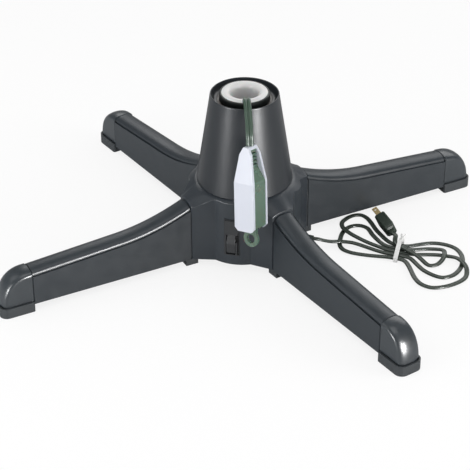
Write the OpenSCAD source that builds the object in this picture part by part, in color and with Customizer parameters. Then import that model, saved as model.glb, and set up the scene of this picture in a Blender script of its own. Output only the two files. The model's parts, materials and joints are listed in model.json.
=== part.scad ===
// Rotating stand for a small artificial Christmas tree.
// Millimetres, +Z up, the floor at Z = 0, the switch towards -Y, the turning axis on Z.

/* [Hub] */
// Height of the hub deck that carries the tower
hub_h = 91; // [86:1:100]
// Distance from the turning axis to the joint between hub and leg
seam_r = 75; // [72:1:80]
// Height of the hub's top edge over a leg joint
hub_seam_h = 80.5; // [78:0.5:84]
// How far the corners of the front and back walls lie inside the leg joints
hub_front_in = 19.5; // [17:0.5:21]
// How far the corners of the side walls lie inside the leg joints
hub_side_in = 14; // [11:0.5:16]
// How far a front, back or side wall swells out at its middle
hub_swell = 4.5; // [3:0.5:6]
// Wall of the moulded hub
hub_wall = 3; // [2.5:0.25:3.5]
// Thickness of the plate that closes the hub from below
plate_t = 2.5; // [2:0.25:3.5]

/* [Tower] */
// How far the tower's foot lies inside the leg joints
tower_foot_in = 20; // [19:0.5:22]
// Outer radius of the tower at its rim
tower_rim_r = 39; // [38:0.5:42]
// Height of the tower from the hub deck to the rim
tower_h = 107; // [95:1:130]
// Wall of the tower
tower_wall = 2.5; // [2:0.25:3]
// Depth of the dish between the rim and the turning collar
dish_d = 7; // [5:0.5:9]

/* [Legs] */
// Length of a leg from the hub joint to its end cap
leg_len = 193; // [150:1:240]
// Width of a leg
leg_w = 28; // [26:0.5:30]
// Wall of a leg
leg_wall = 2.4; // [2:0.2:3]
// Height of a leg's shoulder line at the hub
leg_in_h = 73; // [68:0.5:76]
// Height of a leg's shoulder line at the end cap
leg_out_h = 43.5; // [38:0.5:50]
// Rise of the rounded top over the shoulder line
leg_crown = 6.5; // [4:0.5:8]
// Turn of each leg from the diagonal towards the sides, in degrees
leg_turn = 3.5; // [0:0.5:5]
// Clear height under hub and legs
lift = 8; // [6:0.5:10]
// Length of the rounded end cap
cap_len = 37; // [30:1:45]
// How far a rubber foot stands out round its end cap
shoe_proud = 2; // [1.5:0.25:3]
// Height of a rubber foot
shoe_h = 12; // [10:0.5:15]

/* [Pole socket] */
// Radius of the bore that takes a 32 mm (1 1/4 in) tree pole
pole_r = 16.25; // [14:0.25:17]
// Outer radius of the white socket
socket_r = 26; // [25:0.25:27]
// Depth of the straight bore
bore_len = 92; // [80:1:110]

/* [Drive] */
// Number of balls in the thrust bearing
ball_n = 16; // [10:1:18]
// Radius of a bearing ball
ball_r = 3; // [2.5:0.25:3]
// Teeth of the gear on the rotor
main_n = 60;
// Teeth of the small gear on the idler
idler_small_n = 16;
// Teeth of the large gear on the idler
idler_big_n = 30;
// Teeth of the motor pinion
pinion_n = 14;
// Face width of the rotor gear
gear_w = 7; // [5:0.5:8]
// Radius of the motor can
motor_r = 18; // [15:0.5:18]
// Height of the motor can
motor_h = 28; // [22:1:30]

/* [Outlet block] */
// Length of the outlet block below its lead
block_l = 95; // [88:1:104]
// Width of the outlet block
block_w = 25.5; // [24:0.5:28]
// Thickness of the outlet block over both covers
block_t = 27; // [23:0.5:28]
// Thickness of a white cover plate
cover_t = 3; // [2.4:0.2:4]
// Radius of the hang tab
tab_r = 9.5; // [8:0.5:10]

/* [Switch] */
// Width of the switch body in the front wall
switch_w = 17; // [16.5:0.5:19]
// Height of the rocker opening
rocker_h = 26; // [22:0.5:28]
// Half of the rocker's swing, in degrees
rocker_tilt = 7; // [4:0.5:9]

/* [Cord] */
// Width of the flat mains cord
cord_w = 5.6; // [4.8:0.1:6]
// Thickness of the flat mains cord
cord_t = 2.8; // [2.4:0.1:3]
// Width of the outlet lead
lead_w = 8.5; // [7.5:0.25:9]
// Thickness of the outlet lead
lead_t = 4; // [3.4:0.1:4.2]

/* [Hidden] */

$fn = 64;
eps = 0.01;
fit = 0.1;         // gap between fixed pieces that slide together
run = 0.06;        // radial gap of a running shaft
free = 0.3;        // gap between pieces that roll or swing past each other

// leg directions: front left, front right, back left, back right
leg_names = ["front_left", "front_right", "back_left", "back_right"];
leg_dirs = [225 - leg_turn, 315 + leg_turn, 135 + leg_turn, 45 - leg_turn];

function at(dir, r, side = 0) = [r * cos(dir) - side * sin(dir), r * sin(dir) + side * cos(dir)];
function lerp(a, b, t) = a + (b - a) * t;
function flat(lists) = [for (l = lists) for (p = l) p];

// ---- heights and radii that several pieces share ----
hub_front = seam_r - hub_front_in;
hub_side = seam_r - hub_side_in;
tower_foot_r = seam_r - tower_foot_in;
train_gap = 3;     // room between the gears and the inside of the back wall
train_teeth = (main_n + idler_small_n + idler_big_n) / 2 + 1;
gear_mod = (hub_front + hub_swell - hub_wall - train_gap) / train_teeth;
stub_r = gear_mod * main_n / 3;
stub_wall = 6;
stub_in_r = stub_r - stub_wall;
stub_low = 56;
race_t = 2.4;
race_w = 10;
race_mid = 30;
bush_t = 2.5;
cup_wall = 2.4;
cup_r = socket_r + fit + cup_wall;
socket_lip = 5.5;
tower_z = hub_h;
rim_z = tower_z + tower_h;
dish_z = rim_z - dish_d;
ball_z = hub_h + race_t - 1.1 + ball_r;
race_up_z = ball_z + ball_r - 1.1;
flange_z = race_up_z + race_t;
flange_r = race_mid + race_w / 2 + 1;
flange_t = 4;
cup_top = dish_z + 1.6;
socket_z = flange_z + flange_t;
socket_top = socket_z + bore_len + socket_lip;
bracket_t = 2;
gear_z = 60;
big_z = gear_z - 10;
bracket_z = big_z - 2 - free - bracket_t;
tower_flange_t = 4;
tower_flange_w = 11;
tower_screw_n = 4;
tower_screw_turn = 10;
tower_screw_at = tower_foot_r - 7.5;
switch_x = -0.5;
rocker_x = -1.5;
switch_low = 21;
label_h = 18;
switch_high = switch_low + rocker_h + label_h + 3;
switch_face = -hub_front - hub_swell - 0.8;
switch_depth = 19;
lead_azimuth = 18.5;

// ---- screws ----
m3_r = 1.5;
m3_slack = 0.05;
m3_head_r = 2.8;
m3_head_h = 2;
module screw(len) {
    // head below Z = 0, shank upwards
    translate([0, 0, -m3_head_h]) cylinder(r = m3_head_r, h = m3_head_h);
    translate([0, 0, -eps]) cylinder(r = m3_r - m3_slack, h = len + eps);
}

// ---- hub ----
front_half = 20.5;
side_half = 14;
swell_n = 8;
deck_t = 4;
deck_gap = 0.6;
cap_margin = 2;
boss_r = 4;
boss_at = seam_r - 11;
plate_z = lift + 0.5;
plate_gap = 0.4;
plate_top = plate_z + plate_t;
plate_screw_l = 14;
post_r = 3.5;
post_at = [[10 - hub_side, 5], [6, hub_front - 5.5]];
post_screw_l = 12;
leg_end_t = 3;
leg_screw_side = 8;
leg_screw_z = [24, 50];
leg_screw_l = 7;
gland_y = 4;
gland_z = 15.5;
gland_neck_r = 4;
function wall_arc(half, out) = [for (i = [0:swell_n])
    let (s = 1 - 2 * i / swell_n) [half * s, out + hub_swell * (1 - s * s)]];
function turn(pts, a) = [for (p = pts)
    [p[0] * cos(a) - p[1] * sin(a), p[0] * sin(a) + p[1] * cos(a)]];
function seam(dir, d) = [at(dir, seam_r - d, -leg_w / 2 + d), at(dir, seam_r - d, leg_w / 2 - d)];
// outline of the hub, drawn in by d, counterclockwise from the front left
function hub_plan(d) = concat(
    turn(wall_arc(front_half, hub_front - d), 180), seam(leg_dirs[1], d),
    turn(wall_arc(side_half, hub_side - d), 270), seam(leg_dirs[3], d),
    wall_arc(front_half, hub_front - d), seam(leg_dirs[2], d),
    turn(wall_arc(side_half, hub_side - d), 90), seam(leg_dirs[0], d));
dome_r = seam_r + leg_w;
dome_edge_h = hub_seam_h - 4;
module hub_dome(drop) {
    // everything under the hub's sloping top, lowered by drop
    translate([0, 0, -drop]) rotate_extrude() polygon([[0, 0], [dome_r, 0], [dome_r, dome_edge_h],
        [seam_r, hub_seam_h], [tower_foot_r + cap_margin, hub_h], [0, hub_h]]);
}
module hub_block(d, drop, low, high) {
    intersection() {
        translate([0, 0, low]) linear_extrude(high - low) polygon(hub_plan(d));
        hub_dome(drop);
    }
}
module at_legs(r, z) {
    for (dir = leg_dirs) translate([each at(dir, r), z]) children();
}
module at_posts(z) {
    for (p = post_at) translate([p[0], p[1], z]) children();
}
module at_leg_screws() {
    for (dir = leg_dirs, z = leg_screw_z, s = [-1, 1])
        translate([each at(dir, seam_r - hub_wall, s * leg_screw_side), z]) rotate([0, 90, dir]) children();
}
module at_tower_screws() {
    for (i = [0:tower_screw_n - 1]) rotate(tower_screw_turn + i * 360 / tower_screw_n)
        translate([tower_screw_at, 0, hub_h - deck_t]) children();
}
module hub_base() color("#3c4144") difference() {
    union() {
        difference() {
            hub_block(0, 0, lift, hub_h);
            hub_block(hub_wall, hub_wall, -1, hub_h - deck_t);
        }
        intersection() {
            at_legs(boss_at, plate_top) cylinder(r = boss_r, h = hub_h - plate_top);
            hub_block(0, 0, lift, hub_h);
        }
        at_posts(bracket_z + bracket_t) cylinder(r = post_r, h = hub_h - deck_t / 2 - bracket_z - bracket_t);
    }
    translate([0, 0, hub_h - deck_t - 1]) cylinder(r = stub_r + deck_gap, h = deck_t + 2);
    at_tower_screws() translate([0, 0, -1]) cylinder(r = m3_r + fit, h = deck_t + 2);
    at_legs(boss_at, plate_z) cylinder(r = m3_r, h = plate_screw_l + 1);
    at_posts(bracket_z) cylinder(r = m3_r, h = post_screw_l + 1);
    at_leg_screws() translate([0, 0, -1]) cylinder(r = m3_r + fit, h = hub_wall + 2);
    translate([switch_x - switch_w / 2 - fit, switch_face, switch_low - fit])
        cube([switch_w + 2 * fit, switch_depth, switch_high - switch_low + 2 * fit]);
    translate([hub_side - hub_wall - 2, gland_y, gland_z]) rotate([0, 90, 0])
        cylinder(r = gland_neck_r + fit, h = hub_wall + hub_swell + 4);
}
pivot_hub_r = 9;
pivot_hub_h = 8;
pivot_r = 4;
module hub_bottom_plate() color("#2f3336") difference() {
    union() {
        translate([0, 0, plate_z]) linear_extrude(plate_t) polygon(hub_plan(hub_wall + plate_gap));
        translate([0, 0, plate_top - eps]) cylinder(r = pivot_hub_r, h = pivot_hub_h + eps);
    }
    translate([0, 0, plate_top]) cylinder(r = pivot_r + run + bush_t + fit / 2, h = pivot_hub_h + 1);
    at_legs(boss_at, plate_z - 1) cylinder(r = m3_r + fit, h = plate_t + 2);
}
module plate_screws() color("#8c8f92") at_legs(boss_at, plate_z) screw(plate_screw_l);
module leg_screws() color("#8c8f92") at_leg_screws() screw(leg_screw_l);
module tower_screws() color("#8c8f92") at_tower_screws() screw(deck_t + tower_flange_t + 2);
pad_l = 15;
pad_in = 8;
module hub_pads() color("#25282a") for (dir = leg_dirs) rotate(dir)
    translate([seam_r - pad_in, -leg_w / 2 + 1, 0]) cube([pad_l, leg_w - 2, lift]);

// ---- tower ----
sleeve_h = 12;
bush_out_r = cup_r + run + bush_t;
lip_w = 1.6;
module tower_shell() color("#3d4042") difference() {
    rotate_extrude($fn = 96) polygon([
        [tower_foot_r - tower_flange_w, tower_z], [tower_foot_r, tower_z],
        [tower_rim_r, rim_z - 1], [tower_rim_r - 0.5, rim_z], [tower_rim_r - lip_w, rim_z],
        [tower_rim_r - lip_w - 2.5, dish_z], [bush_out_r + fit / 2, dish_z],
        [bush_out_r + fit / 2, dish_z - sleeve_h], [bush_out_r + tower_wall, dish_z - sleeve_h],
        [bush_out_r + tower_wall, dish_z - tower_wall],
        [tower_rim_r - tower_wall, dish_z - tower_wall],
        [tower_foot_r - tower_wall, tower_z + tower_flange_t],
        [tower_foot_r - tower_flange_w, tower_z + tower_flange_t]]);
    at_tower_screws() cylinder(r = m3_r, h = deck_t + tower_flange_t + 3);
}
module top_bush() color("#d8d6cc") rotate_extrude() translate([cup_r + run, dish_z - sleeve_h])
    square([bush_t, sleeve_h]);

// ---- legs, built along +X ----
ledge = 0.8;
crown_n = 10;
crown_pow = 0.75;
leg_fall = 0.07;
sweep_len = 85;
sweep_h = leg_in_h - leg_out_h - leg_fall * leg_len;
leg_x = [0, 9, 19, 30, 43, 58, sweep_len, leg_len];
function shoulder(x) = let (t = max(0, 1 - x / sweep_len))
    leg_out_h + leg_fall * (leg_len - x) + sweep_h * t * t;
// upper part of a leg's cross-section, half width w, shoulder line at height h
function arch(w, h, low, crown) = concat([[w, low], [w, h]],
    [for (i = [0:crown_n]) let (a = 180 * i / crown_n)
        [(w - ledge) * cos(a), h + crown * pow(sin(a), crown_pow)]],
    [[-w, h], [-w, low]]);
function back(pts) = [for (i = [len(pts) - 1:-1:0]) pts[i]];
// closed tube through rings of points; the two flat ends are one face, or strips for a channel
module skin(rings, channel = false) {
    n = len(rings[0]);
    last = (len(rings) - 1) * n;
    sides = [for (i = [0:n:last - n], j = [0:n - 1]) let (k = (j + 1) % n)
        each [[i + j, i + n + k, i + k], [i + j, i + n + j, i + n + k]]];
    ends = channel ? [for (j = [0:n / 2 - 2], q = [[j, j + 1, n - 2 - j, n - 1 - j],
            [last + n - 1 - j, last + n - 2 - j, last + j + 1, last + j]]) q]
        : [[for (j = [0:n - 1]) j], [for (j = [n - 1:-1:0]) last + j]];
    polyhedron(flat(rings), concat(sides, ends));
}
module leg(i) color("#3f4448") rotate(leg_dirs[i]) {
    skin([for (x = leg_x) let (h = shoulder(x)) [for (p = concat(arch(leg_w / 2, h, lift, leg_crown),
        back(arch(leg_w / 2 - leg_wall, h - leg_wall, lift, leg_crown)))) [seam_r + x, p[0], p[1]]]], true);
    // wall that is bolted to the hub
    translate([seam_r, 0, 0]) rotate([90, 0, 90]) linear_extrude(leg_end_t) difference() {
        polygon(arch(leg_w / 2 - leg_wall / 2, (shoulder(0) - leg_wall + shoulder(leg_end_t)) / 2, lift + 1,
            leg_crown));
        for (z = leg_screw_z, s = [-1, 1]) translate([s * leg_screw_side, z]) circle(r = m3_r);
    }
}
module leg_front_left() leg(0);
module leg_front_right() leg(1);
module leg_back_left() leg(2);
module leg_back_right() leg(3);
nose_r = 7;
nose_pow = 0.8;
spigot_l = 12;
cap_wall = 3;
cap_x = seam_r + leg_len;
cap_top = leg_out_h + leg_crown;
module end_cap(i) color("#34393c") rotate(leg_dirs[i]) translate([cap_x, 0, 0]) {
    difference() {
        hull() {
            rotate([90, 0, 90]) linear_extrude(eps) polygon(arch(leg_w / 2, leg_out_h, lift, leg_crown));
            for (a = [15:15:75], s = [-1, 1]) translate([(cap_len - nose_r) * pow(sin(a), nose_pow),
                s * (leg_w / 2 - nose_r), lift + (cap_top - nose_r - lift) * pow(cos(a), nose_pow)])
                sphere(r = nose_r, $fn = 16);
            for (s = [-1, 1]) translate([cap_len - nose_r, s * (leg_w / 2 - nose_r), lift])
                cylinder(r = nose_r, h = shoe_h, $fn = 16);
        }
        translate([-1, -leg_w / 2 + cap_wall, lift - 1])
            cube([cap_len - nose_r, leg_w - 2 * cap_wall, leg_out_h - lift - nose_r]);
    }
    translate([-spigot_l, 0, 0]) difference() {
        translate([0, -leg_w / 2 + leg_wall + fit, lift + 1])
            cube([spigot_l + cap_wall, leg_w - 2 * leg_wall - 2 * fit, leg_out_h - lift - leg_wall - 2]);
        translate([-1, -leg_w / 2 + 2 * cap_wall, lift])
            cube([spigot_l + cap_wall + 2, leg_w - 4 * cap_wall, leg_out_h - lift - 2 * cap_wall]);
    }
}
module end_cap_front_left() end_cap(0);
module end_cap_front_right() end_cap(1);
module end_cap_back_left() end_cap(2);
module end_cap_back_right() end_cap(3);
corner_n = 6;
function corner(x, y, r, a0) = [for (i = [0:corner_n]) let (a = a0 + 90 * i / corner_n)
    [x + r * cos(a), y + r * sin(a)]];
shoe_back_r = 2.5;
function shoe_plan(d, x0) = concat(
    corner(x0 + shoe_back_r, -leg_w / 2 - d + shoe_back_r, shoe_back_r, 180),
    corner(cap_len - nose_r, -leg_w / 2 + nose_r, nose_r + d, 270),
    corner(cap_len - nose_r, leg_w / 2 - nose_r, nose_r + d, 0),
    corner(x0 + shoe_back_r, leg_w / 2 + d - shoe_back_r, shoe_back_r, 90));
shoe_in = 2.5;
module foot(i) color("#33373a") rotate(leg_dirs[i]) translate([cap_x, 0, 0]) difference() {
    linear_extrude(shoe_h) polygon(shoe_plan(shoe_proud, 0));
    translate([0, 0, lift]) linear_extrude(shoe_h) polygon(shoe_plan(fit / 2, -3 * shoe_back_r));
    translate([cap_wall, -leg_w / 2 + 2 * cap_wall, shoe_in])
        cube([cap_len - 3 * cap_wall, leg_w - 4 * cap_wall, lift]);
}
module foot_front_left() foot(0);
module foot_front_right() foot(1);
module foot_back_left() foot(2);
module foot_back_right() foot(3);

// ---- rotor and its bearings ----
wire_r = 8;
module race(z, up) rotate_extrude() difference() {
    translate([race_mid - race_w / 2, z]) square([race_w, race_t]);
    translate([race_mid, ball_z]) circle(r = ball_r + free);
}
module bearing_race_lower() color("#a9adb0") race(hub_h);
module bearing_race_upper() color("#a9adb0") race(race_up_z);
module at_balls() for (i = [0:ball_n - 1]) rotate(i * 360 / ball_n) translate([race_mid, 0, ball_z]) children();
module bearing_balls() color("#c9cdd0") at_balls() sphere(r = ball_r);
cage_t = 2;
cage_w = 8.4;
module bearing_cage() color("#c2a86a") difference() {
    translate([0, 0, ball_z - cage_t / 2]) rotate_extrude() translate([race_mid - cage_w / 2, 0])
        square([cage_w, cage_t]);
    at_balls() translate([0, 0, -cage_t]) cylinder(r = ball_r + free, h = 2 * cage_t);
}
module rotor_spindle() color("#303436") difference() {
    rotate_extrude() polygon([[wire_r, flange_z], [stub_in_r, flange_z - 2], [stub_in_r, stub_low],
        [stub_r, stub_low], [stub_r, flange_z], [flange_r, flange_z], [flange_r, socket_z],
        [cup_r, socket_z], [cup_r, cup_top], [cup_r - cup_wall, cup_top], [cup_r - cup_wall, socket_z],
        [wire_r, socket_z]]);
    lead_way() translate([-lead_w / 2 - fit, -groove_r_out - 1, flange_z - 5])
        cube([lead_w + 2 * fit, groove_r_out - wire_r + 2 + 1, flange_t + 5 + 1]);
}
collar_top = socket_top - 1.6;
module collar_ring() color("#26292b") rotate_extrude() translate([socket_r + fit, cup_top])
    polygon([[0, 0], [cup_wall, 0], [cup_wall, collar_top - cup_top - 1], [cup_wall - 1, collar_top - cup_top],
        [0, collar_top - cup_top]]);
groove_d = 5.4;
groove_r_out = socket_r;
module lead_way() rotate(lead_azimuth) children();
lip_n = 8;
lip_flat_r = socket_r - 3.2;
module pole_socket() color("#eeeeec") difference() {
    rotate_extrude() polygon(concat(
        [[pole_r, socket_z], [socket_r, socket_z], [socket_r, socket_top - 1.6],
            [socket_r - 0.5, socket_top - 1], [lip_flat_r, socket_top]],
        [for (i = [0:lip_n]) let (a = 90 * i / lip_n)
            [pole_r + (lip_flat_r - 2 - pole_r) * (1 - sin(a)), socket_top - socket_lip * (1 - cos(a))]]));
    lead_way() translate([-lead_w / 2 - fit, -socket_r - 1, socket_z - 1])
        cube([lead_w + 2 * fit, groove_d + 1, socket_top - socket_z + 2]);
}

// ---- gears ----
press = 20;
backlash = 0.22;
addendum = 0.85;
dedendum = 1.2;
flank_n = 2;
function inv(a) = tan(a) - a * PI / 180;
function tooth_half(n, r) = let (p = gear_mod * n / 2, rb = p * cos(press))
    90 / n - backlash / p * 45 / PI + (inv(press) - inv(r > rb ? acos(rb / r) : 0)) * 180 / PI;
module gear(n, w, bore, phase) {
    p = gear_mod * n / 2;
    r0 = p - dedendum * gear_mod;
    r1 = p + addendum * gear_mod;
    rs = [r0, for (i = [0:flank_n]) lerp(max(r0 + 0.1, p * cos(press)), r1, i / flank_n)];
    side = [for (r = rs) [r, tooth_half(n, r)]];
    difference() {
        rotate(phase) linear_extrude(w) polygon([for (k = [0:n - 1]) let (a = k * 360 / n) each concat(
            [for (q = side) [q[0] * cos(a - q[1]), q[0] * sin(a - q[1])]],
            [for (i = [flank_n + 1:-1:0]) let (q = side[i]) [q[0] * cos(a + q[1]), q[0] * sin(a + q[1])]])]);
        translate([0, 0, -1]) cylinder(r = bore, h = w + 2);
    }
}
idler_step = 0.5;
motor_in = 34;
motor_at = seam_r - motor_in;
motor_dir = leg_dirs[2];
main_idler = gear_mod * (main_n + idler_small_n) / 2;
idler_pinion = gear_mod * (idler_big_n + pinion_n) / 2;
idler_swing = acos((main_idler * main_idler + motor_at * motor_at - idler_pinion * idler_pinion)
    / (2 * main_idler * motor_at));
idler_dir = motor_dir - idler_swing;
idler_at = at(idler_dir, main_idler);
motor_pos = at(motor_dir, motor_at);
to_pinion = atan2(motor_pos[1] - idler_at[1], motor_pos[0] - idler_at[0]);
big_w = 6;
axle_r = 2;
shaft_r = 2.5;
washer_h = 2;
module main_gear() color("#e4e0cf") translate([0, 0, gear_z]) gear(main_n, gear_w, stub_r + fit / 2, idler_dir);
module idler_gear() color("#e9e6da") translate([idler_at[0], idler_at[1], 0]) {
    translate([0, 0, big_z]) gear(idler_big_n, big_w, axle_r + run, to_pinion);
    translate([0, 0, big_z + big_w - eps]) gear(idler_small_n, gear_z + gear_w + idler_step - big_z - big_w + eps,
        axle_r + run, idler_dir + 180 + 180 / idler_small_n);
}
axle_head = 3.5;
module idler_axle() color("#b4b7ba") translate([idler_at[0], idler_at[1], 0]) {
    translate([0, 0, bracket_z]) cylinder(r = axle_r, h = gear_z + gear_w + 2 - bracket_z);
    translate([0, 0, bracket_z + bracket_t]) cylinder(r = axle_head, h = washer_h);
    translate([0, 0, gear_z + gear_w + idler_step + free]) cylinder(r = axle_head, h = 1);
}
motor_z = bracket_z - motor_h;
shaft_in = 14;
module motor_pinion() color("#d9b25c") translate([motor_pos[0], motor_pos[1], 0]) {
    translate([0, 0, big_z - 1]) gear(pinion_n, big_w + 2, shaft_r, to_pinion + 180 + 180 / pinion_n);
    translate([0, 0, bracket_z - shaft_in]) cylinder(r = shaft_r + eps, h = big_z + big_w + 1 - bracket_z + shaft_in);
}
motor_screw_at = 12;
motor_screw_l = 7;
module at_motor_screws() for (s = [-1, 1]) translate([motor_pos[0], motor_pos[1], bracket_z + bracket_t])
    rotate(to_pinion + 90) translate([s * motor_screw_at, 0, 0]) mirror([0, 0, 1]) children();
module motor() color("#b9bcbf") difference() {
    translate([motor_pos[0], motor_pos[1], motor_z]) union() {
        cylinder(r = motor_r, h = motor_h);
        translate([0, 0, motor_h / 3]) cylinder(r = motor_r + 0.6, h = 1.2);
    }
    translate([motor_pos[0], motor_pos[1], bracket_z - shaft_in - 1]) cylinder(r = shaft_r + run + eps, h = shaft_in + 2);
    at_motor_screws() cylinder(r = m3_r, h = motor_screw_l + 1);
}
ear_r = 6;
strap_w = 11;
module strap(p, q) translate([p[0], p[1], 0]) rotate(atan2(q[1] - p[1], q[0] - p[0]))
    translate([0, -strap_w / 2, 0]) cube([norm(q - p), strap_w, bracket_t]);
module motor_bracket() color("#9da1a4") difference() {
    translate([0, 0, bracket_z]) union() {
        translate([motor_pos[0], motor_pos[1], 0]) cylinder(r = motor_r - 1, h = bracket_t);
        translate([idler_at[0], idler_at[1], 0]) cylinder(r = ear_r, h = bracket_t);
        for (p = post_at) translate([p[0], p[1], 0]) cylinder(r = ear_r, h = bracket_t);
        strap(motor_pos, post_at[0]);
        strap(idler_at, post_at[1]);
        strap(motor_pos, idler_at);
    }
    at_posts(bracket_z - 1) cylinder(r = m3_r + fit, h = bracket_t + 2);
    translate([idler_at[0], idler_at[1], bracket_z - 1]) cylinder(r = axle_r + m3_slack, h = bracket_t + 2);
    translate([motor_pos[0], motor_pos[1], bracket_z - 1]) cylinder(r = shaft_r + 1, h = bracket_t + 2);
    at_motor_screws() translate([0, 0, -1]) cylinder(r = m3_r + fit, h = bracket_t + 2);
}
module bracket_screws() color("#8c8f92") {
    at_posts(bracket_z) screw(post_screw_l);
    at_motor_screws() screw(motor_screw_l);
}

// ---- slip rings and brushes ----
drum_r = 12;
ring_t = 2;
ring_h = 5;
ring_z = [28, 40];
drum_low = plate_top + pivot_hub_h + 1;
module slip_ring_drum() color("#7a4a2c") rotate_extrude() polygon([[0, plate_top + 0.5], [pivot_r, plate_top + 0.5],
    [pivot_r, drum_low], [drum_r, drum_low], [drum_r, stub_low - 2], [stub_r - 1, stub_low - 2],
    [stub_r - 1, stub_low], [stub_in_r - fit, stub_low], [stub_in_r - fit, stub_low + 4], [0, stub_low + 4]]);
module slip_rings() color("#c98f4e") for (z = ring_z) translate([0, 0, z]) rotate_extrude()
    translate([drum_r + m3_slack, 0]) square([ring_t, ring_h]);
module pivot_bush() color("#b88a4a") rotate_extrude() translate([pivot_r + run, plate_top])
    square([bush_t, pivot_hub_h]);
holder_x = 20;
holder_l = 12;
holder_w = 14;
brush_w = 4;
module brush_holder() color("#4a3524") difference() {
    translate([holder_x, -holder_w / 2, plate_top])
        cube([holder_l, holder_w, ring_z[1] + ring_h + 3 - plate_top]);
    for (z = ring_z) translate([holder_x - 1, -brush_w / 2 - fit, z + ring_h / 2 - brush_w / 2 - fit])
        cube([holder_l - 2, brush_w + 2 * fit, brush_w + 2 * fit]);
}
module brushes() color("#3a3a3c") for (z = ring_z)
    translate([drum_r + m3_slack + ring_t + free, -brush_w / 2, z + ring_h / 2 - brush_w / 2])
        cube([holder_x + holder_l / 2 - drum_r - ring_t, brush_w, brush_w]);
block_in = 21;
block_x = hub_side - block_in;
block_size = [14, 22, 14];
wire_hole_r = 2;
module terminal_block() color("#d9d9d4") difference() {
    translate([block_x, gland_y - block_size[1] / 2, plate_top]) cube(block_size);
    for (i = [-1, 1]) translate([block_x - 1, gland_y + i * 5, plate_top + block_size[2] / 2 + 1])
        rotate([0, 90, 0]) cylinder(r = wire_hole_r, h = block_size[0] + 2);
}

// ---- switch ----
label_proud = 1.2;
rocker_w = switch_w - 6.6;
slot_at = 6.3;
slot_w = 1.4;
slot_depth = 4;
notch_w = 2;
notch_h = 10;
notch_depth = 6;
rocker_z = switch_low + 1 + rocker_h / 2;
rocker_y = switch_face + 6.5;
rocker_half = rocker_h / 2 - 1;
pin_r = 1.2;
module switch_housing() color("#2b2f31") difference() {
    union() {
        translate([switch_x - switch_w / 2, switch_face, switch_low])
            cube([switch_w, switch_depth, switch_high - switch_low]);
        translate([switch_x - switch_w / 2 + 1, switch_face - label_proud, switch_low + rocker_h + 2])
            cube([switch_w - 2, label_proud + 1, label_h]);
    }
    translate([rocker_x - rocker_w / 2 - free, switch_face - 1, switch_low + 1])
        cube([rocker_w + 2 * free, 14, rocker_h]);
    // finger notch beside the rocker's upper half, and the slot along the right edge
    translate([rocker_x + rocker_w / 2, switch_face - 1, switch_low + 1 + rocker_h - notch_h])
        cube([notch_w, notch_depth + 1, notch_h]);
    translate([slot_at, switch_face - 1, switch_low + 1]) cube([slot_w, slot_depth + 1, rocker_h]);
    translate([switch_x - switch_w / 2 - 1, rocker_y, rocker_z]) rotate([0, 90, 0])
        cylinder(r = pin_r + m3_slack, h = switch_w + 2);
}
module switch_rocker() color("#33383a") translate([rocker_x, rocker_y, rocker_z]) rotate([-rocker_tilt, 0, 0])
    difference() {
        rotate([90, 0, 90]) translate([0, 0, -rocker_w / 2]) linear_extrude(rocker_w) polygon([
            [-6.6, rocker_half], [-5.4, 0], [-6.6, -rocker_half], [-1, -rocker_half],
            [2.6, 0], [-1, rocker_half]]);
        translate([-rocker_w / 2 - 1, 0, 0]) rotate([0, 90, 0]) cylinder(r = pin_r + run, h = rocker_w + 2);
    }
module rocker_pin() color("#b4b7ba") translate([switch_x - switch_w / 2 + 0.5, rocker_y, rocker_z])
    rotate([0, 90, 0]) cylinder(r = pin_r, h = switch_w - 1);

// ---- tubes for cords ----
function unit(v) = v / norm(v);
function heading(pts, i) = unit(pts[min(i + 1, len(pts) - 1)] - pts[max(i - 1, 0)]);
// ring of a flat cord, w across and t thick; across is level unless side is given
function cord_ring(p, dir, w, t, sides, side) = let (
    across = is_undef(side) ? unit(cross([0, 0, 1], dir)) : side, up = cross(dir, across),
    a0 = sides == 8 ? 22.5 : 0, kx = sides == 8 ? 1 / cos(22.5) : 1, ky = sides == 8 ? kx : 1 / sin(60))
    [for (k = [0:sides - 1]) let (a = a0 + 360 * k / sides)
        p + across * (w / 2 * kx * cos(a)) + up * (t / 2 * ky * sin(a))];
module tube(pts, w, t, sides, side) {
    skin([for (i = [0:len(pts) - 1]) cord_ring(pts[i], heading(pts, i), w, t, sides, side)]);
}
function mid(a, b, c, d) = (-a + 9 * b + 9 * c - d) / 16;
// one more point between each pair, on a smooth curve
function finer(pts) = let (n = len(pts) - 1) [for (i = [0:n]) each i == n ? [pts[n]]
    : [pts[i], mid(pts[max(i - 1, 0)], pts[i], pts[i + 1], pts[min(i + 2, n)])]];
function run_length(pts) = let (d = [for (i = [1:len(pts) - 1]) norm(pts[i] - pts[i - 1])]) d * [for (x = d) 1];

// ---- outlet on its lead ----
hang_tilt = 13;
hang_top = [68, 168.8];
function hang_point(k) = [hang_top[0] - k * sin(hang_tilt), hang_top[1] + k * cos(hang_tilt)];
// route of the lead in its own upright plane: [distance from the axis, height]
lead_route = [[23.4, socket_z + 8], [23.4, 150], [23.4, 186], [23.5, 197], [25, 202.6], [28.6, 205], [33, 204.8],
    [38, 203.2], [43.2, 201], [48.6, 197.9], [54, 193.6], [58.8, 188.6], [62.6, 183.8], hang_point(10),
    hang_point(5), hang_point(0)];
lead_points = [for (q = lead_route) [q[0] * sin(lead_azimuth), -q[0] * cos(lead_azimuth), q[1]]];
lead_side = [cos(lead_azimuth), sin(lead_azimuth), 0];
module outlet_lead() color("#4f7359") tube(finer(lead_points), lead_w, lead_t, 8, lead_side);

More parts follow.
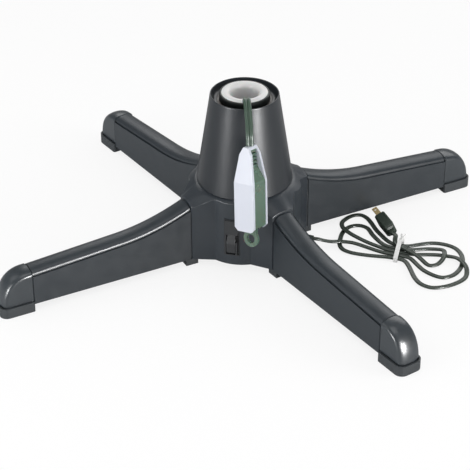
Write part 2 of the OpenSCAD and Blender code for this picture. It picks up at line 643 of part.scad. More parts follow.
block_turn = -39.5;
block_drop = 40;
block_edge = 3;
block_neck = 7.5;
block_top_t = 17;
bridge_t = 3;
chin = 4;
rib_w = 9;
rib_n = 4;
rib_cut = 2.6;
slot_h = 2.2;
body_gap = 0.05;
tab_low = 11.5;
tab_t = 3.2;
tab_hole_r = 5.2;
blade_slot_w = 2;
blade_slot_l = [7.4, 9];
blade_slot_at = 6.35;
blade_slot_z = [-53, -76];
blade_slot_d = 14;
module at_block() rotate(lead_azimuth) translate([0, -hang_top[0], hang_top[1]])
    rotate([-hang_tilt, 0, 0]) rotate(block_turn) children();
// broad face of the block; wide is the half width under the crease
module block_face(d) polygon([[-block_edge, 0], [-block_neck + d, -8], [-block_w / 2 + d, -block_drop],
    [-block_w / 2 + d, -block_l + chin], [-block_w / 2 + chin + d, -block_l + d],
    [block_w / 2 - chin - d, -block_l + d], [block_w / 2 - d, -block_l + chin],
    [block_w / 2 - d, -block_drop], [block_neck - d, -8], [block_edge, 0]]);
module block_edge_view(d, top) polygon([[-block_top_t / 2 + d, top], [-block_t / 2 + d, -block_drop],
    [-block_t / 2 + d, -block_l - 1], [block_t / 2 - d, -block_l - 1], [block_t / 2 - d, -block_drop],
    [block_top_t / 2 - d, top]]);
module block_slab(d, side, top) intersection() {
    translate([0, block_t / 2 + 1, 0]) rotate([90, 0, 0]) linear_extrude(block_t + 2) block_face(d);
    translate([-block_w, 0, 0]) rotate([90, 0, 90]) linear_extrude(2 * block_w) block_edge_view(side, top);
}
module blade_slots() for (z = blade_slot_z, i = [0, 1])
    translate([(2 * i - 1) * blade_slot_at - blade_slot_w / 2, block_t / 2 - blade_slot_d, z - blade_slot_l[i] / 2])
        cube([blade_slot_w, blade_slot_d + 1, blade_slot_l[i]]);
module outlet_cover() color("#ecebf2") at_block() difference() {
    block_slab(0, 0, 0);
    block_slab(-1, cover_t, -bridge_t);
    blade_slots();
}
module outlet_body() color("#5f7d69") at_block() difference() {
    union() {
        intersection() {
            block_slab(0.6, cover_t + body_gap, -bridge_t - body_gap);
            rotate([90, 0, 0]) linear_extrude(block_t, center = true) polygon([[-rib_w / 2, 0], [-rib_w / 2, -24],
                [-block_w / 2, -block_drop], [-block_w / 2, -block_l], [block_w / 2, -block_l],
                [block_w / 2, -block_drop], [rib_w / 2, -24], [rib_w / 2, 0]]);
        }
        translate([-tab_r + 2, -tab_t / 2, -block_l - tab_low]) cube([2 * tab_r - 4, tab_t, tab_low + 1]);
        translate([0, 0, -block_l - tab_low]) rotate([90, 0, 0]) cylinder(r = tab_r, h = tab_t, center = true);
    }
    translate([0, 0, -block_l - tab_low]) rotate([90, 0, 0]) cylinder(r = tab_hole_r, h = block_t, center = true);
    for (i = [0:rib_n - 1], s = [-1, 1]) translate([s * rib_w / 2 - rib_cut, -block_t / 2, -8 - i * 4.4])
        cube([2 * rib_cut, block_t, slot_h]);
    blade_slots();
}

// ---- mains cord, its hank, the tie and the plug ----
gland_tip = 81;
gland_in = hub_side - hub_wall;
module gland_slot(x0, x1, d) translate([x0, gland_y - cord_w / 2 - d, gland_z - cord_t / 2 - d])
    cube([x1 - x0, cord_w + 2 * d, cord_t + 2 * d]);
module cord_gland() color("#3f5546") difference() {
    translate([0, gland_y, gland_z]) rotate([0, 90, 0]) rotate_extrude() polygon([[0, gland_in - 2], [4.3, gland_in - 2],
        [4.3, gland_in - 0.5], [gland_neck_r, gland_in - 0.5], [gland_neck_r, hub_side + hub_swell],
        [5.2, hub_side + hub_swell], [5.2, hub_side + hub_swell + 1.6], [4.6, hub_side + hub_swell + 2.2],
        [3.5, gland_tip], [0, gland_tip]]);
    gland_slot(gland_in - 3, gland_tip + 1, fit);
}
waist_z = 2.8;
over = 3.6;
cord_start = block_x + block_size[0] + 0.5;
// from the terminal block through the gland and into the tie
cord_route = [[cord_start, gland_y, gland_z], [gland_in + 6, gland_y, gland_z], [gland_tip - 7, gland_y, gland_z],
    [gland_tip, gland_y, gland_z], [87, 5.6, 14.6], [93, 9.4, 11.2], [100.5, 15, 7.4], [110, 20.4, 5.5],
    [124, 22.6, 4.6], [139, 19.8, 3.4], [153, 15.6, 2.9], [162, 13.4, waist_z], [170, 12.45, waist_z],
    [178, 11.5, waist_z]];
// three loops to the right of the tie and two to the left, in the order the cord was wound
hank_route = [
    [178, 11.5, waist_z], [186, 10.55, waist_z], [193.5, 9, waist_z], [201, 2, 2], [211, -9, 1.6], [223, -17, 1.6],
    [236, -20, 1.6], [247, -12, 1.6], [252.5, 2, 1.6], [253.5, 17, 1.6], [250, 32, 1.6],
    [241, 44, 1.6], [227, 49, 1.6], [213, 48, 1.6], [200, 41, 2.2], [189, 34, waist_z],
    [178, 32.5, waist_z], [169, 34.5, waist_z], [161, 41, 2.4], [153, 51, 1.8], [145, 61.5, 1.6], [137.5, 74, 1.6],
    [129.5, 85, 1.6], [120.5, 89.5, 1.6], [111, 84.5, 1.6], [105.2, 73.5, 2.4], [103.8, 61.5, 4.8], [107, 51, 5.6],
    [114.5, 43, 5.5], [124.5, 37, 4.6], [139, 30.5, 3.2], [154, 24.5, 2.8], [166, 20, waist_z],
    [178, 18.5, waist_z], [189, 17.5, waist_z], [201, 19.5, 2], [213, 23, 1.6], [225, 25, 1.6], [234, 25, 1.6],
    [241, 23, 2.8], [247.5, 18, 5], [254, 11, 5.6], [260, 1, 4.4], [261, -13, 1.7], [253, -27, 1.6],
    [240, -38, 1.6], [226, -43, 1.6], [213, -38, 1.6], [204, -26, 1.6], [197, -11, 2], [189, 1.5, waist_z],
    [178, 4.5, waist_z], [166, 5.5, 2.4], [153, 5.2, 1.8], [139, 5, 1.6], [125, 6.2, 1.6], [114.5, 11, 1.6],
    [109, 21, 1.6], [107.6, 34, 1.6], [108, 47, 1.6], [113, 60, 1.6], [123.5, 66, 1.6], [134.5, 62.5, 1.6],
    [142, 51, 1.6], [150.5, 40, 1.8], [158.5, 31.5, 2.2], [168, 26.6, waist_z],
    [178, 25.5, waist_z], [189, 25.8, waist_z], [199, 29.5, 2.2], [209, 34, 1.8], [219, 35.5, 2.2], [228, 32, 4.6],
    [231.5, 24.5, 5.6], [231, 14.5, 4], [226, 5, 1.8], [217, 1, 1.6], [208.5, 7, 3.4], [201, 12, 5.8],
    [194, 16, 6.4], [187.5, 20.5, 6.4], [181, 25, 6.4]];
plug_dir = [-0.5623, 0.8269, 0];
plug_back = [167.6, 46.5, 10.2];
plug_route = [[181, 25, 6.4], [178.2, 26.9, 6.4], [174.9, 29, 6.4], [172.4, 32.4, 7.2], [171.7, 36.4, 8.9],
    plug_back - 7 * plug_dir, plug_back - 3.5 * plug_dir, plug_back];
module mains_cord() color("#2f4335") tube(finer(cord_route), cord_w, cord_t, 8);
module cord_hank() color("#2f4335") tube(finer(hank_route), cord_w, cord_t, 6);
module plug_lead() color("#2f4335") tube(finer(plug_route), cord_w, cord_t, 8);
tie_w = 5;
tie_t = 1;
tie_x = 178;
tie_head = [0, 36.6, 1.5];
tie_head_size = [6, 4.5, 6];
tie_tail = 7;
bundle_low = [34.9, 3.9];
bundle_high = [13, 7.4];
module tie_bundle() hull() {
    translate([1.1, tie_t]) square(bundle_low);
    translate([20.5, tie_t]) square(bundle_high);
}
module cord_tie() color("#f0f0ee") {
    translate([tie_x, 0, 0]) rotate([90, 0, 90]) linear_extrude(tie_w, center = true) difference() {
        offset(delta = tie_t) tie_bundle();
        tie_bundle();
    }
    translate([tie_x, 0, 0] + tie_head) {
        translate([-2, 0, 0]) cube(tie_head_size);
        translate([-0.6, 1.4, 5.9]) rotate([-18, 0, 0]) cube([2.4, 1.6, tie_tail]);
        translate([1.2, 2.8, 5.1]) rotate([-40, 24, 0]) cube([2.4, 1.6, tie_tail + 1]);
    }
}
plug_w = 13;
plug_h = 18;
plug_l = 33;
plug_lean = 25;
plug_cut = 0.13;
door_l = 14;
door_slit = [2.2, 0.9, 0.8];
plug_turn = atan2(plug_dir[1], plug_dir[0]);
blade_l = 16;
blade_in = 5;
blade_w = 6.35;
blade_t = 1.5;
blade_at = 6.35;
function plug_ring(x, w, h) = let (c = min(w, h) * plug_cut) [for (q = [[w / 2 - c, -h / 2], [w / 2, -h / 2 + c],
    [w / 2, h / 2 - c], [w / 2 - c, h / 2], [-w / 2 + c, h / 2], [-w / 2, h / 2 - c], [-w / 2, -h / 2 + c],
    [-w / 2 + c, -h / 2]]) [x, q[0], q[1]]];
module at_plug() translate(plug_back) rotate([-plug_lean, 0, plug_turn]) children();
module blade(d) for (s = [-1, 1]) translate([plug_l - blade_in - d, -blade_w / 2 - d, s * blade_at - blade_t / 2 - d])
    cube([blade_l + blade_in + 2 * d, blade_w + 2 * d, blade_t + 2 * d]);
module plug_body() color("#2c3f31") at_plug() difference() {
    skin([plug_ring(0, 7, 5.6), plug_ring(4, 7.6, 7.4), plug_ring(5, 10, 12), plug_ring(7, plug_w - 1, plug_h - 2),
        plug_ring(9, plug_w, plug_h), plug_ring(plug_l, plug_w, plug_h)]);
    blade(body_gap);
    translate([plug_l - door_l, door_slit[0] - plug_w / 2, plug_h / 2 - door_slit[2]])
        cube([door_l + 1, door_slit[1], door_slit[2] + 1]);
}
module plug_blades() color("#b8964f") at_plug() difference() {
    blade(0);
    translate([plug_l + blade_l - 4, 0, -plug_h]) cylinder(r = 1.6, h = 2 * plug_h);
}

// least gap of the cord to itself, on finer points that are more than skip apart along the run
cord_all = concat(cord_route, [for (i = [1:len(hank_route) - 1]) hank_route[i]],
    [for (i = [1:len(plug_route) - 1]) plug_route[i]]);
skip = 9;
function gap(a, b) = max(norm([a[0] - b[0], a[1] - b[1]]) - cord_w, abs(a[2] - b[2]) - cord_t);
gaps = let (p = finer(finer(cord_all)), n = len(p)) [for (i = [0:2:n - 1], j = [i + skip:1:n - 1])
    if (norm(p[i] - p[j]) < 12) [gap(p[i], p[j]), p[i], p[j]]];
least = min([for (g = gaps) g[0]]);
echo(least_gap = least, at = [for (g = gaps) if (g[0] < 0.45) g]);
echo(cord = run_length(finer(cord_route)), hank = run_length(finer(hank_route)),
    plug = run_length(finer(plug_route)), lead = run_length(finer(lead_points)));

hub_base();
hub_bottom_plate();
tower_shell();
leg_front_left();
leg_front_right();
leg_back_left();
leg_back_right();
end_cap_front_left();
end_cap_front_right();
end_cap_back_left();
end_cap_back_right();
foot_front_left();
foot_front_right();
foot_back_left();
foot_back_right();
hub_pads();
leg_screws();
plate_screws();
tower_screws();
bearing_race_lower();
bearing_balls();
bearing_cage();
bearing_race_upper();
top_bush();
pivot_bush();
rotor_spindle();
collar_ring();
pole_socket();
main_gear();
slip_ring_drum();
slip_rings();
brush_holder();
brushes();
idler_gear();
idler_axle();
motor_pinion();
motor();
motor_bracket();
bracket_screws();
switch_housing();
switch_rocker();
rocker_pin();
terminal_block();
outlet_lead();
outlet_body();
outlet_cover();
cord_gland();
mains_cord();
cord_hank();
plug_lead();
cord_tie();
plug_body();
plug_blades();
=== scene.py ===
import json
import math

import bmesh
import bpy
import numpy as np
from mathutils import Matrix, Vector


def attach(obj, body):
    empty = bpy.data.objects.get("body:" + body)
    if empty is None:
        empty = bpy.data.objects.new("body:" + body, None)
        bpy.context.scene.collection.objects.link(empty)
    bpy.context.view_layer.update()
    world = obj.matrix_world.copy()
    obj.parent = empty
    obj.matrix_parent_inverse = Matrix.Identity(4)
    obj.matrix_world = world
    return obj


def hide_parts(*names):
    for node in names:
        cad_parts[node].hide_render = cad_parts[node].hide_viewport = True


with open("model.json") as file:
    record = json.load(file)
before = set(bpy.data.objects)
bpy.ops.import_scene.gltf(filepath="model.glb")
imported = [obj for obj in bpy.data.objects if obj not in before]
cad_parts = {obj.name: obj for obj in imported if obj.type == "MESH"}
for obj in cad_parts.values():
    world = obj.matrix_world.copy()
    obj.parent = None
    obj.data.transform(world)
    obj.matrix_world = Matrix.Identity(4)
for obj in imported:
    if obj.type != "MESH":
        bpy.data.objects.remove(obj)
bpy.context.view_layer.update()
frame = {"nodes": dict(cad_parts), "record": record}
nodes = frame["nodes"]
mm = 0.001
scene = bpy.context.scene
print("frame loaded")

# ---- values a user would change ----
# camera and studio in metres, the pieces in millimetres, angles in degrees;
# names that end in R, H or T are radii, heights and thicknesses
viewpoint = {"azimuth": 13.7, "elevation": 31.0, "distance": 2.0, "lookAt": (0, 0, 0.08),
             "focalPx": 1744, "centrePx": (244.6, 184.0), "picturePx": 470, "sensor": 36}
# lamps: name, azimuth and elevation seen from the camera's side, distance, width, height, power
studio = {"floorSize": 5.0, "floorZ": -0.0004, "floorColor": 1.0, "worldLow": 1.0, "worldHigh": 0.5,
          "worldStrength": 0.95, "glossyStrength": 0.22, "glossyFloor": 0.6, "floorWhiteness": 0.82,
          "lamps": [("lampLeft", -50, 7, 1.4, 0.34, 0.5, 14), ("lampRight", 37, 7, 1.4, 0.34, 0.5, 46),
                    ("lampTop", 10, 78, 1.8, 1.1, 1.1, 6), ("lampBack", 166, 35, 0.91, 1.3, 0.5, 4.5),
                    ("fillLeft", -50, 8, 1.8, 1.0, 0.8, 13), ("fillRight", 76, 14, 1.8, 1.0, 0.8, 14),
                    ("lampHighLeft", -92, 46, 1.8, 0.9, 0.9, 2.5)],
          "sheenOnly": ("lampLeft", "lampRight", "lampBack"), "diffuseOnly": ("fillLeft", "fillRight")}
hub = {"height": 91, "seamR": 75, "seamH": 80.5, "front": 55.5, "side": 61, "swell": 4.5, "frontHalf": 20.5,
       "sideHalf": 14, "shoulderR": 57, "wall": 3, "edge": 0.7, "crown": 4, "crownFrom": 52, "deckT": 4,
       "stubR": 20.6, "roofInR": 46, "deckInR": 30}
switchHole = {"x": (-9.1, 8.1), "y": (-62, -41), "z": (20.9, 68.1)}
glandHole = {"x": (56, 70), "y": 4, "z": 15.5, "radius": 4.1}
leg = {"length": 193, "width": 28, "wall": 2.4, "inH": 73, "outH": 43.5, "crown": 6.5, "crownPower": 0.75,
       "fall": 0.07, "sweep": 85, "lift": 8, "ledge": 1.5, "groove": 1.5, "turn": 3.5, "seamGap": 1.7,
       "seamDepth": 2.0, "plateEnds": (0.3, 3)}
nose = {"length": 37, "power": 0.8, "half": 13.6, "seam": 0.9, "bandTop": 13.6, "band": 0.8,
        "spigot": 12, "spigotHalf": 11.5, "spigotDrop": 3.4}
tower = {"footR": 55, "rimR": 39, "height": 107, "wall": 2.5, "dish": 7, "lip": 1.6, "sleeve": 12,
         "bushR": 31.11, "footFlange": 11, "footT": 4}
cordSize = {"width": 5.6, "thick": 2.8, "groove": 0.55}
leadSize = {"width": 8.5, "thick": 4, "groove": 1.4}
rocker = {"at": (-1.5, -54.3, 35), "tilt": -7, "width": 10.4, "half": 12, "proud": 6.6, "ends": 4.7,
          "edge": 0.35}

legDirs = {"front_left": 225 - leg["turn"], "front_right": 315 + leg["turn"],
           "back_left": 135 + leg["turn"], "back_right": 45 - leg["turn"]}


# ---- camera ----
def cameraBack():
    az, el = math.radians(viewpoint["azimuth"]), math.radians(viewpoint["elevation"])
    return Vector((math.sin(az) * math.cos(el), -math.cos(az) * math.cos(el), math.sin(el)))


def addCamera():
    data = bpy.data.cameras.new("camera")
    obj = bpy.data.objects.new("camera", data)
    scene.collection.objects.link(obj)
    back, px = cameraBack(), viewpoint["picturePx"]
    obj.location = back * viewpoint["distance"] + Vector(viewpoint["lookAt"])
    obj.rotation_euler = back.to_track_quat("Z", "Y").to_euler()
    data.sensor_width = viewpoint["sensor"]
    data.lens = viewpoint["focalPx"] * viewpoint["sensor"] / px
    data.shift_x = (px / 2 - viewpoint["centrePx"][0]) / px
    data.shift_y = (viewpoint["centrePx"][1] - px / 2) / px
    data.dof.use_dof = False
    scene.camera = obj


addCamera()
print("camera placed")


# ---- finishes ----
def link(tree, a, b):
    tree.links.new(a, b)


# base colours are linear; rough is (low, high); grain and patch are noise scales per metre
# inputs 6 and 7 and output 2 of a mix node are its colours
def finish(name, color, rough=(0.42, 0.52), grain=1500, bump=0.12, patch=60, vary=0.06, metal=0.0,
           transmission=0.0, stretch=(1, 1, 1), specular=0.5, subsurface=0.0):
    material = bpy.data.materials.new(name)
    material.use_nodes = True
    tree = material.node_tree
    shader = tree.nodes["Principled BSDF"]
    shader.inputs["Metallic"].default_value = metal
    shader.inputs["Transmission Weight"].default_value = transmission
    shader.inputs["Specular IOR Level"].default_value = specular
    shader.inputs["Subsurface Weight"].default_value = subsurface
    shader.inputs["Subsurface Scale"].default_value = 0.004
    where = tree.nodes.new("ShaderNodeTexCoord")
    place = tree.nodes.new("ShaderNodeMapping")
    place.inputs["Scale"].default_value = stretch
    link(tree, where.outputs["Object"], place.inputs["Vector"])
    broad = tree.nodes.new("ShaderNodeTexNoise")
    broad.inputs["Scale"].default_value = patch
    broad.inputs["Detail"].default_value = 4
    link(tree, place.outputs["Vector"], broad.inputs["Vector"])
    fine = tree.nodes.new("ShaderNodeTexNoise")
    fine.inputs["Scale"].default_value = grain
    fine.inputs["Detail"].default_value = 3
    link(tree, place.outputs["Vector"], fine.inputs["Vector"])
    mix = tree.nodes.new("ShaderNodeMix")
    mix.data_type = "RGBA"
    mix.inputs[6].default_value = (*[c * (1 - vary) for c in color], 1)
    mix.inputs[7].default_value = (*[min(1, c * (1 + vary)) for c in color], 1)
    link(tree, broad.outputs["Fac"], mix.inputs[0])
    link(tree, mix.outputs[2], shader.inputs["Base Color"])
    spread = tree.nodes.new("ShaderNodeMapRange")
    spread.inputs["From Min"].default_value = 0.3
    spread.inputs["From Max"].default_value = 0.7
    spread.inputs["To Min"].default_value = rough[0]
    spread.inputs["To Max"].default_value = rough[1]
    link(tree, broad.outputs["Fac"], spread.inputs["Value"])
    link(tree, spread.outputs["Result"], shader.inputs["Roughness"])
    dent = tree.nodes.new("ShaderNodeBump")
    dent.inputs["Strength"].default_value = bump
    dent.inputs["Distance"].default_value = 0.0002
    link(tree, fine.outputs["Fac"], dent.inputs["Height"])
    link(tree, dent.outputs["Normal"], shader.inputs["Normal"])
    return material


looks = {
    "hub_plastic": finish("hubPlastic", (0.0245, 0.0315, 0.0395), (0.34, 0.42), vary=0.05),
    # tower: the hub plastic painted darker, a shaded copy that paints in weaker light on the tower
    "tower_painted_shade": finish("towerPaintedShadePlastic", (0.0135, 0.0175, 0.0225), (0.32, 0.4), grain=700, bump=0.2,
                         vary=0.08, stretch=(1, 1, 0.08)),
    "leg_plastic": finish("legPlastic", (0.0245, 0.0315, 0.0385), (0.34, 0.42), vary=0.05),
    "cap_plastic": finish("capPlastic", (0.033, 0.041, 0.048), (0.28, 0.34), bump=0.05, specular=0.7),
    "foot_rubber": finish("footRubber", (0.045, 0.051, 0.056), (0.45, 0.55), grain=2200, bump=0.25,
                          specular=0.3),
    "plate_plastic": finish("platePlastic", (0.024, 0.026, 0.029), (0.5, 0.6), bump=0.2),
    "screw_steel": finish("screwSteel", (0.46, 0.47, 0.49), (0.28, 0.4), metal=1.0, bump=0.05, grain=4000),
    "bearing_steel": finish("bearingSteel", (0.6, 0.62, 0.64), (0.1, 0.18), metal=1.0, bump=0.02),
    "cage_brass": finish("cageBrass", (0.55, 0.4, 0.15), (0.28, 0.4), metal=1.0, bump=0.05),
    "bush_bronze": finish("bushBronze", (0.5, 0.27, 0.08), (0.35, 0.5), metal=1.0, bump=0.1, grain=3000),
    "bush_plastic": finish("bushPlastic", (0.05, 0.04, 0.034), (0.3, 0.4)),
    "rotor_plastic": finish("rotorPlastic", (0.009, 0.011, 0.0105), (0.3, 0.4), specular=0.35),
    "socket_plastic": finish("socketPlastic", (0.66, 0.66, 0.655), (0.3, 0.4), vary=0.02, bump=0.05,
                             subsurface=0.1),
    "gear_nylon": finish("gearNylon", (0.76, 0.74, 0.64), (0.4, 0.5), subsurface=0.1),
    "drum_phenolic": finish("drumPhenolic", (0.2, 0.07, 0.025), (0.3, 0.45), grain=900, vary=0.15),
    "ring_copper": finish("ringCopper", (0.65, 0.3, 0.13), (0.15, 0.25), metal=1.0, stretch=(1, 1, 12)),
    "brush_carbon": finish("brushCarbon", (0.03, 0.03, 0.031), (0.5, 0.7), grain=3000, bump=0.3),
    "pinion_brass": finish("pinionBrass", (0.6, 0.42, 0.14), (0.25, 0.35), metal=1.0),
    "motor_steel": finish("motorSteel", (0.5, 0.51, 0.53), (0.3, 0.42), metal=1.0, stretch=(1, 1, 14),
                          bump=0.08),
    "switch_plastic": finish("switchPlastic", (0.026, 0.028, 0.031), (0.34, 0.42), bump=0.3, grain=1100),
    "terminal_plastic": finish("terminalPlastic", (0.7, 0.7, 0.67), (0.3, 0.4)),
    "outlet_green": finish("outletGreen", (0.12, 0.195, 0.143), (0.2, 0.3), transmission=0.2,
                           subsurface=0.2),
    "cover_white": finish("coverWhite", (0.565, 0.59, 0.66), (0.32, 0.34), vary=0.01, bump=0.05),
    "lead_green": finish("leadGreen", (0.05, 0.087, 0.062), (0.28, 0.36), bump=0.1, specular=0.55),
    "cord_green": finish("cordGreen", (0.042, 0.055, 0.044), (0.26, 0.36), bump=0.12),
    "plug_green": finish("plugGreen", (0.028, 0.044, 0.032), (0.5, 0.6), bump=0.1, specular=0.3),
    "tie_white": finish("tieWhite", (0.85, 0.85, 0.84), (0.45, 0.55)),
    "blade_brass": finish("bladeBrass", (0.78, 0.6, 0.3), (0.3, 0.4), metal=0.55, stretch=(1, 1, 9)),
}
slotOf = {s["node"]: s["material_slot"] for s in frame["record"]["subparts"]}
for name, obj in nodes.items():
    obj.data.materials.clear()
    obj.data.materials.append(looks[slotOf[name]])
print("finishes made")


# ---- making meshes ----
def meshObject(name, verts, faces, slotName, body, node=None):
    mesh = bpy.data.meshes.new(name)
    mesh.from_pydata([tuple(float(c) * mm for c in v) for v in verts], [], faces)
    mesh.validate()
    mesh.update()
    obj = bpy.data.objects.new(name, mesh)
    scene.collection.objects.link(obj)
    mesh.materials.append(looks[slotName])
    for poly in mesh.polygons:
        poly.use_smooth = True
    fixNormals(obj)
    if node:
        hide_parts(*([node] if isinstance(node, str) else node))
    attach(obj, body)
    return obj


def fixNormals(obj):
    b = bmesh.new()
    b.from_mesh(obj.data)
    bmesh.ops.recalc_face_normals(b, faces=b.faces)
    b.to_mesh(obj.data)
    b.free()


def sharpen(obj, degrees):
    obj.data.set_sharp_from_angle(angle=math.radians(degrees))


boxFaces = [(0, 1, 3, 2), (4, 6, 7, 5), (0, 4, 5, 1), (2, 3, 7, 6), (0, 2, 6, 4), (1, 5, 7, 3)]


# corners of a box from its two ends on each axis, in the order that boxFaces counts them
def boxCorners(xs, ys, zs):
    return [(x, y, z) for x in xs for y in ys for z in zs]


# faces of a tube through rings of n points
def ringFaces(rings, n, start=0):
    faces = []
    for i in range(rings - 1):
        low = start + i * n
        for j in range(n):
            k = (j + 1) % n
            faces.append((low + j, low + k, low + n + k, low + n + j))
    return faces


def loft(name, rings, slotName, body, node, sharp):
    n = len(rings[0])
    verts = [p for r in rings for p in r]
    faces = ringFaces(len(rings), n)
    faces += [tuple(reversed(range(n))), tuple(range((len(rings) - 1) * n, len(rings) * n))]
    obj = meshObject(name, verts, faces, slotName, body, node)
    sharpen(obj, sharp)
    return obj


def lathe(name, profile, slotName, body, node, steps, sharp):
    rings = [[(r * math.cos(a), r * math.sin(a), z) for r, z in profile]
             for a in [2 * math.pi * i / steps for i in range(steps)]]
    n = len(profile)
    verts = [p for r in rings for p in r]
    faces = []
    for i in range(steps):
        for j in range(n):
            k = (j + 1) % n
            a, b = i * n, ((i + 1) % steps) * n
            faces.append((a + j, b + j, b + k, a + k))
    obj = meshObject(name, verts, faces, slotName, body, node)
    sharpen(obj, sharp)
    return obj


def bevel(obj, width, segments, angle=40):
    m = obj.modifiers.new("edges", "BEVEL")
    m.width = width * mm
    m.segments = segments
    m.limit_method = "ANGLE"
    m.angle_limit = math.radians(angle)
    m.use_clamp_overlap = True
    m.harden_normals = False


# ---- cords: route points as in part.scad, in millimetres, made metres by meshObject ----
def finer(p):
    p = [np.array(q, float) for q in p]
    n, out = len(p) - 1, []
    for i in range(n):
        a, d = p[max(i - 1, 0)], p[min(i + 2, n)]
        out += [p[i], (-a + 9 * p[i] + 9 * p[i + 1] - d) / 16]
    return out + [p[n]]


# outline of a flat two-core cord: two round lobes with a groove between them
def twinSection(size, steps=9):
    r, g = size["thick"] / 2, size["groove"]
    c = size["width"] / 2 - r
    a0 = math.asin(min(1, (r - g) / r))
    right = [(c + r * math.cos(a), r * math.sin(a))
             for a in np.linspace(-math.pi + a0, math.pi - a0, steps)]
    return right + [(-x, -y) for x, y in right]


def sweepCord(name, path, size, slotName, body, node, side=None):
    section = twinSection(size)
    rings = []
    for i, p in enumerate(path):
        d = path[min(i + 1, len(path) - 1)] - path[max(i - 1, 0)]
        d /= np.linalg.norm(d)
        across = np.cross((0, 0, 1), d) if side is None else np.array(side, float)
        across /= np.linalg.norm(across)
        up = np.cross(d, across)
        rings.append([p + across * x + up * y for x, y in section])
    return loft(name, rings, slotName, body, node, sharp=50)


def pathLength(path):
    return sum(np.linalg.norm(b - a) for a, b in zip(path, path[1:]))


# ---- light: white round about for the camera, softer and darker overhead for everything else ----
def addWorld():
    world = bpy.data.worlds.new("world")
    scene.world = world
    world.use_nodes = True
    tree = world.node_tree
    out = tree.nodes["World Output"]
    soft = tree.nodes["Background"]
    white = tree.nodes.new("ShaderNodeBackground")
    white.inputs["Color"].default_value = (1, 1, 1, 1)
    white.inputs["Strength"].default_value = 1.0
    soft.inputs["Strength"].default_value = studio["worldStrength"]
    where = tree.nodes.new("ShaderNodeTexCoord")
    split = tree.nodes.new("ShaderNodeSeparateXYZ")
    link(tree, where.outputs["Generated"], split.inputs[0])
    height = tree.nodes.new("ShaderNodeMapRange")
    height.inputs["From Min"].default_value = 0.0
    height.inputs["From Max"].default_value = 0.8
    height.inputs["To Min"].default_value = studio["worldLow"]
    height.inputs["To Max"].default_value = studio["worldHigh"]
    link(tree, split.outputs["Z"], height.inputs["Value"])
    link(tree, height.outputs["Result"], soft.inputs["Color"])
    rays = tree.nodes.new("ShaderNodeLightPath")
    dim = tree.nodes.new("ShaderNodeBackground")
    link(tree, height.outputs["Result"], dim.inputs["Color"])
    dim.inputs["Strength"].default_value = studio["glossyStrength"]
    glossy = tree.nodes.new("ShaderNodeMixShader")
    link(tree, rays.outputs["Is Glossy Ray"], glossy.inputs[0])
    link(tree, soft.outputs[0], glossy.inputs[1])
    link(tree, dim.outputs[0], glossy.inputs[2])
    mix = tree.nodes.new("ShaderNodeMixShader")
    link(tree, rays.outputs["Is Camera Ray"], mix.inputs[0])
    link(tree, glossy.outputs[0], mix.inputs[1])
    link(tree, white.outputs[0], mix.inputs[2])
    link(tree, mix.outputs[0], out.inputs["Surface"])


def addLamp(name, azimuth, elevation, distance, width, height, energy):
    data = bpy.data.lights.new(name, "AREA")
    data.shape = "RECTANGLE"
    data.size, data.size_y = width, height
    data.energy = energy
    obj = bpy.data.objects.new(name, data)
    scene.collection.objects.link(obj)
    az, el = math.radians(viewpoint["azimuth"] + azimuth), math.radians(elevation)
    back = Vector((math.sin(az) * math.cos(el), -math.cos(az) * math.cos(el), math.sin(el)))
    obj.location = back * distance + Vector(viewpoint["lookAt"])
    obj.rotation_euler = back.to_track_quat("Z", "Y").to_euler()
    obj.visible_diffuse = name not in studio["sheenOnly"]
    obj.visible_glossy = name not in studio["diffuseOnly"]


def addFloor():
    s, z = studio["floorSize"] / 2, studio["floorZ"]
    mesh = bpy.data.meshes.new("floor")
    mesh.from_pydata([(-s, -s, z), (s, -s, z), (s, s, z), (-s, s, z)], [], [(0, 1, 2, 3)])
    obj = bpy.data.objects.new("floor", mesh)
    scene.collection.objects.link(obj)
    material = bpy.data.materials.new("floorWhite")
    material.use_nodes = True
    shader = material.node_tree.nodes["Principled BSDF"]
    shader.inputs["Roughness"].default_value = 1.0
    shader.inputs["Specular IOR Level"].default_value = 0.0
    tree = material.node_tree
    rays = tree.nodes.new("ShaderNodeLightPath")
    mix = tree.nodes.new("ShaderNodeMix")
    mix.data_type = "RGBA"
    mix.inputs[6].default_value = (*[studio["floorColor"]] * 3, 1)
    mix.inputs[7].default_value = (*[studio["glossyFloor"]] * 3, 1)
    link(tree, rays.outputs["Is Glossy Ray"], mix.inputs[0])
    link(tree, mix.outputs[2], shader.inputs["Base Color"])
    # for the camera the floor is mostly plain white, with the shadow left in the rest
    plain = tree.nodes.new("ShaderNodeEmission")
    share = tree.nodes.new("ShaderNodeMath")
    share.operation = "MULTIPLY"
    share.inputs[1].default_value = studio["floorWhiteness"]
    both = tree.nodes.new("ShaderNodeMixShader")
    link(tree, rays.outputs["Is Camera Ray"], share.inputs[0])
    link(tree, share.outputs[0], both.inputs[0])
    link(tree, shader.outputs[0], both.inputs[1])
    link(tree, plain.outputs[0], both.inputs[2])
    link(tree, both.outputs[0], tree.nodes["Material Output"].inputs["Surface"])
    mesh.materials.append(material)


scene.view_settings.view_transform = "Standard"
addWorld()
for row in studio["lamps"]:
    addLamp(*row)
addFloor()
print("studio lit")


